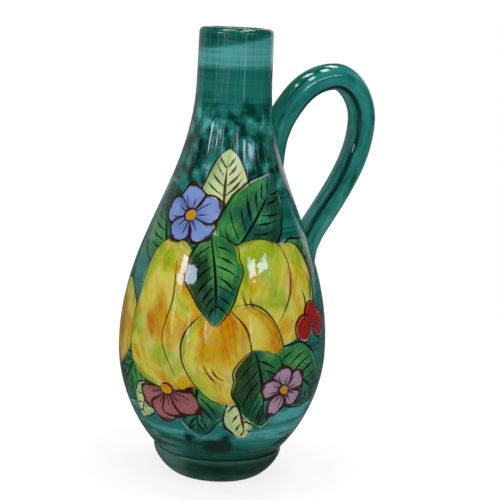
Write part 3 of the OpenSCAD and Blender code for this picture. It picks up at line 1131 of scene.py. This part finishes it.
# Handle
# A strap pulled from a lump of clay, crowned outside and flatter inside, bent into a loop and
# pressed on to the neck and the shoulder, with each end smeared down the wall as a tail.
strap_w = 13 * MM
strap_t = 12.5 * MM
crown_share = 0.55
inner_flatness = 0.55
upper_root_z = 165 * MM
upper_root_gap = 3.75 * MM
upper_lean = math.radians(28)
upper_way = np.array([math.sin(upper_lean), math.cos(upper_lean)])
upper_pull = 16 * MM
lower_root_z = 112 * MM
lower_root_gap = 3.25 * MM
lower_lean = math.radians(34)
lower_way = np.array([math.sin(lower_lean), math.cos(lower_lean)])
lower_pull = 26 * MM
apex = np.array([52.5, 188]) * MM
apex_in_pull = 13 * MM
apex_out_pull = 7 * MM
outermost = np.array([67.9, 168]) * MM
outermost_up_pull = 10.5 * MM
outermost_down_pull = 19 * MM
upper_tail_len = 28 * MM
lower_tail_len = 36 * MM
tail_end_t = 2 * MM
tail_width_share = 0.55
tail_pull = 0.16
tail_steps = 26
ease_reach = 6 * MM
ease_full = 8 * MM
ease_end = 20 * MM
strap_sides = 56


def wall_at(height):
    """The wall's radius at a height."""
    return float(np.interp(height, outside[:, 1], outside[:, 0]))


def wall_way(height):
    """The wall's direction, upwards, at a height."""
    span = 6 * MM
    way = np.array([wall_at(height + span) - wall_at(height - span), 2 * span])
    return way / np.linalg.norm(way)


def tail_line(root, way, length):
    """The middle of a tail, from the strap's end down the wall until it is sunk in it."""
    end = np.array([wall_at(root[1] - length) - tail_end_t, root[1] - length])
    pull = tail_pull * length
    return curve(root, root - pull * way, end + pull * wall_way(end[1]), end, tail_steps)


upper_root = np.array([wall_at(upper_root_z) + upper_root_gap, upper_root_z])
lower_root = np.array([wall_at(lower_root_z) + lower_root_gap, lower_root_z])
upper_tail = tail_line(upper_root, upper_way, upper_tail_len)
lower_tail = tail_line(lower_root, lower_way, lower_tail_len)
strap_line = np.concatenate([
    upper_tail[::-1],
    [upper_root],
    curve(upper_root, upper_root + upper_pull * upper_way, apex - [apex_in_pull, 0], apex, 40),
    curve(apex, apex + [apex_out_pull, 0], outermost + [0, outermost_up_pull], outermost, 32),
    curve(outermost, outermost - [0, outermost_down_pull], lower_root + lower_pull * lower_way,
          lower_root, 48),
    lower_tail,
])
# The bends at the two roots are eased, as the wet clay is stroked into the wall
root_near = np.minimum(np.linalg.norm(strap_line - upper_root, axis=1),
                       np.linalg.norm(strap_line - lower_root, axis=1))
apart = np.linalg.norm(strap_line[:, None] - strap_line[None], axis=2)
spacing = np.gradient(np.cumsum(np.linalg.norm(np.gradient(strap_line, axis=0), axis=1)))
blend = np.exp(-((apart / ease_reach) ** 2)) * spacing
eased = (blend @ strap_line) / blend.sum(1)[:, None]
strap_line = strap_line + (eased - strap_line) * (1 - smooth(ease_full, ease_end, root_near))[:, None]
fade = np.linspace(0, 1, tail_steps + 1)[1:]
loop_count = len(strap_line) - 2 * len(fade)
thinning = smooth(0, 1, np.concatenate([fade[::-1], np.zeros(loop_count), fade]))
strap_run = run_along(strap_line)
strap_ways = np.gradient(strap_line, strap_run, axis=0)
strap_ways /= np.linalg.norm(strap_ways, axis=1)[:, None]
strap_wide = strap_w * (1 - (1 - tail_width_share) * thinning)
strap_thick = strap_t + (tail_end_t - strap_t) * thinning
# Each end is closed by a row of no width at the same place
pad = [0] + list(range(len(strap_line))) + [len(strap_line) - 1]
closed = np.ones(len(pad))
closed[[0, -1]] = 0

handle_glaze, shader, where = new_finish("brushed_strap_glaze")
along = stored(where, "strap", "Vector")
far_down = along.axis("X")
outward = along.axis("Z")
hair = along.noise((0.03, 4.0, 4.0), 4, 0.6, 0.3)
wash = along.noise((0.06, 1.6, 1.6), 3, 0.5, 0.5)
cloud = where.noise((70, 70, 70), 3, 0.55)
peel = where.noise((380, 380, 380), 2)
drift = (along.noise((0.05, 0.0, 0.0), 2) - 0.5) * 0.5
# The inner face is painted lighter and a dark line runs along its edge: a painted reflection of the inner
# edge's bright and dark lines, the dark line partly paint pooled where the side strokes meet
inner_face_painted_sheen = 1 - outward.rise(-0.95, -0.6)
inner_edge_painted_reflection = (outward + 0.52 + drift).maths("ABSOLUTE")
light = 0.44 + 0.12 * far_down.rise(122, 150) + 0.30 * inner_face_painted_sheen
light = light + (hair - 0.5) * 1.2 + (wash - 0.5) * 1.5 + (cloud - 0.5) * 0.8
teal = over(over(TEAL_DEEP, colour(28, 108, 99), light.rise(0.0, 0.5)), TEAL_PALE, light.rise(0.5, 1.1))
teal = over(teal, TEAL_BLACK, (1 - inner_edge_painted_reflection.rise(0.06, 0.32)) * (0.6 + 0.6 * wash))
fill(shader, Base_Color=teal, Roughness=0.03 + 0.06 * peel,
     Normal=(hair * 0.03 + peel * 0.12).bump(0.10, 1.2 * MM))

tree, given = new_tree("strap_sweep", Sides="Int", Crown_Share="Float", Inner_Flatness="Float",
                       Glaze="Material")
grid, row, column = grid_rows(given, given["Sides"])
held = {}
for label, kind in (("way", "FLOAT_VECTOR"), ("wide", "FLOAT"), ("thick", "FLOAT"), ("run", "FLOAT")):
    own = row.then("GeometryNodeInputNamedAttribute", 0, {"data_type": kind}, Name=label)
    held[label] = from_row(given, row, own, kind)
middle = from_row(given, row, row.then("GeometryNodeInputPosition"))
turn = column / given["Sides"] * (2 * math.pi)
across = turn.maths("COSINE")
outward = turn.maths("SINE")
crown = outward.maths("MAXIMUM") * given["Crown Share"]
flat = (outward * -1).maths("MAXIMUM").maths("POWER", given["Inner Flatness"]) * (1 - given["Crown Share"])
out = (crown - flat) * held["thick"]
offset = vector_of(held["way"].axis("Z") * -1 * out, across * held["wide"] * 0.5, held["way"].axis("X") * out)
swept = grid.then("GeometryNodeSetPosition", Geometry=grid, Position=middle.vector("ADD", offset))
swept = grid.then("GeometryNodeStoreNamedAttribute", 0, {"data_type": "FLOAT_VECTOR", "domain": "POINT"},
                  Geometry=swept, Name="strap", Value=vector_of(held["run"], across, outward))
finish_tree(swept, given)
handle = shaped("pulled_handle", tree, upright(strap_line[pad]),
                {"way": upright(strap_ways[pad]), "wide": strap_wide[pad] * closed,
                 "thick": strap_thick[pad] * closed, "run": strap_run[pad] / MM},
                Sides=strap_sides, Crown_Share=crown_share, Inner_Flatness=inner_flatness, Glaze=handle_glaze)
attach(handle, "root")
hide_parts("handle", "upper_tail", "lower_tail")

# Floor, world and lamps
# A white floor and a plain soft studio. The glaze mirrors a dim room with two pale walls, some
# window panes and door gaps, and a row of ceiling panels.
floor_half = 3
floor_mesh = bpy.data.meshes.new("floor")
floor_mesh.from_pydata([(x * floor_half, y * floor_half, 0) for x, y in ((-1, -1), (1, -1), (1, 1), (-1, 1))],
                       [], [(0, 1, 2, 3)])
floor = bpy.data.objects.new("floor", floor_mesh)
scene.collection.objects.link(floor)
floor_paint, shader, spot = new_finish("floor_paint")
fill(shader, Base_Color=(0.8, 0.8, 0.8, 1), Roughness=0.9, Specular_IOR_Level=0)
seen = spot.then("ShaderNodeLightPath", "Is Camera Ray")
mirrored = spot.then("ShaderNodeLightPath", "Is Glossy Ray")
far = spot.vector("LENGTH", output="Value").rise(0.25, 1.2)
white = spot.then("ShaderNodeEmission", Strength=1 - 0.91 * mirrored)
shown = spot.then("ShaderNodeMixShader", i0=seen * (0.82 + 0.18 * far) + mirrored,
                  i1=Field(shader.outputs[0]), i2=white)
fill(floor_paint.node_tree.nodes["Material Output"], Surface=shown)
floor_mesh.materials.append(floor_paint)

fill_light = 0.55
room_light = 0.03
world = bpy.data.worlds.new("studio")
scene.world = world
world.use_nodes = True
look = Field.node(world.node_tree, "ShaderNodeTexCoord", "Generated")
camera_ray = look.then("ShaderNodeLightPath", "Is Camera Ray")
glossy_ray = look.then("ShaderNodeLightPath", "Is Glossy Ray")
room = room_light
for turn, inner, brightness in ((-19, 0.97, 0.75), (44, 0.94, 0.30)):
    pale_wall = Matrix.Rotation(math.radians(turn), 3, "Z") @ -camera_way
    facing = look.vector("DOT_PRODUCT", tuple(pale_wall), "Value")
    room = facing.rise(0.82, inner) * brightness + room
level = camera_ray + (1 - camera_ray) * (glossy_ray * room + (1 - glossy_ray) * fill_light)
fill(world.node_tree.nodes["Background"], Color=(1, 1, 1, 1), Strength=level)

lamp_aim_z = 100 * MM
window_away = 1.2
window_light = 14
window_blue = (0.66, 0.76, 1.0)
door_rise = 1
door_wide = 0.035
door_tall = 0.30
door_light = 5
door_blue = (0.8, 0.92, 1.0)
ceiling_height = 1.6
ceiling_light = 14
panel_wide = 0.24
panel_long = 0.66
row_way = math.radians(-49)


def lamp(name, away, azimuth, rise, wide, tall, brightness, tint=(1, 1, 1)):
    """A soft lamp that looks at the bottle, from an azimuth right of the camera's and a rise above level."""
    data = bpy.data.lights.new(name, "AREA")
    data.shape = "RECTANGLE"
    data.size = wide
    data.size_y = tall
    data.energy = brightness * math.pi * wide * tall
    data.color = tint
    made = bpy.data.objects.new(name, data)
    turn = view_azimuth + math.radians(azimuth)
    rise = math.radians(rise)
    way = Vector((math.cos(rise) * math.sin(turn), -math.cos(rise) * math.cos(turn), math.sin(rise)))
    made.location = Vector((0, 0, lamp_aim_z)) + away * way
    made.rotation_euler = (-way).to_track_quat("-Z", "Y").to_euler()
    scene.collection.objects.link(made)
    return made


for number, (azimuth, rise, wide, tall) in enumerate([
        (-57, 20, 0.17, 0.20), (-44, 21.5, 0.26, 0.12), (36, 25.5, 0.20, 0.13), (51, 24, 0.27, 0.07)]):
    lamp("window_pane_%d" % number, window_away, azimuth, rise, wide, tall, window_light, window_blue)
for number, azimuth in enumerate((-57, -37, -18, 30)):
    lamp("door_gap_%d" % number, window_away, azimuth, door_rise, door_wide, door_tall, door_light, door_blue)
# Each panel lies level, at so many ceiling heights along the row and aside from it
for number, (along, aside) in enumerate([
        (-0.46, -0.1), (-0.14, 0.3), (0.24, 0.66), (0.12, -0.14), (0.50, -0.15)]):
    across = Vector((math.sin(row_way) * along + math.cos(row_way) * aside,
                     math.cos(row_way) * along - math.sin(row_way) * aside))
    panel = lamp("ceiling_%d" % number, ceiling_height * math.sqrt(1 + across.length_squared),
                 math.degrees(math.atan2(across.x, across.y)), math.degrees(math.atan2(1, across.length)),
                 panel_wide, panel_long, ceiling_light)
    panel.rotation_euler = (0, 0, view_azimuth + row_way + math.pi / 2)
